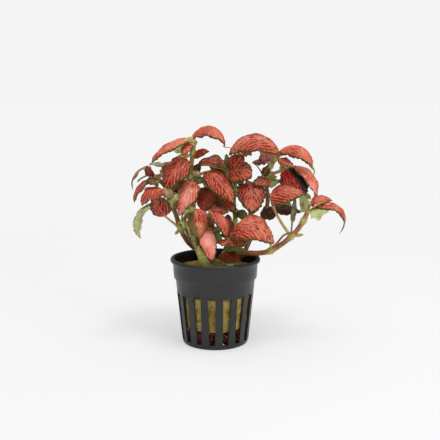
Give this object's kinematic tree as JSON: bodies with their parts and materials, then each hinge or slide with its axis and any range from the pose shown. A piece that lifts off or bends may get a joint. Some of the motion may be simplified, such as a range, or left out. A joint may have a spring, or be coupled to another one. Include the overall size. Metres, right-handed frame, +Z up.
{
  "type": "potted nerve plant",
  "caption": "Potted nerve plant with net-veined red leaves on arching stems, rooted in a rock wool plug in a slotted black net pot.",
  "frame": {"origin": "middle of the pot's foot, on the surface that it stands on", "axes": "+Z up along the pot's axis, +X to the right and +Y to the back of the plant"},
  "size_m": [0.1266, 0.0794, 0.1299],
  "materials": {
    "pot": "satin black plastic",
    "rock_wool": "matted brown mineral fibre",
    "roots": "brown root skin",
    "leaf": "soft satin leaf, coral red with dark green net and edge"
  },
  "bodies": {
    "root": {"pot": "pot", "rock_wool": "rock_wool", "roots": "roots", "stem_left": "leaf", "stem_left_tall": "leaf", "stem_middle": "leaf", "stem_right_tall": "leaf", "stem_right": "leaf", "stem_front_left": "leaf", "stem_front": "leaf", "stem_front_right": "leaf", "stem_back_left": "leaf", "stem_back": "leaf", "stem_back_middle": "leaf", "stem_back_right": "leaf"}
  },
  "joints": []
}
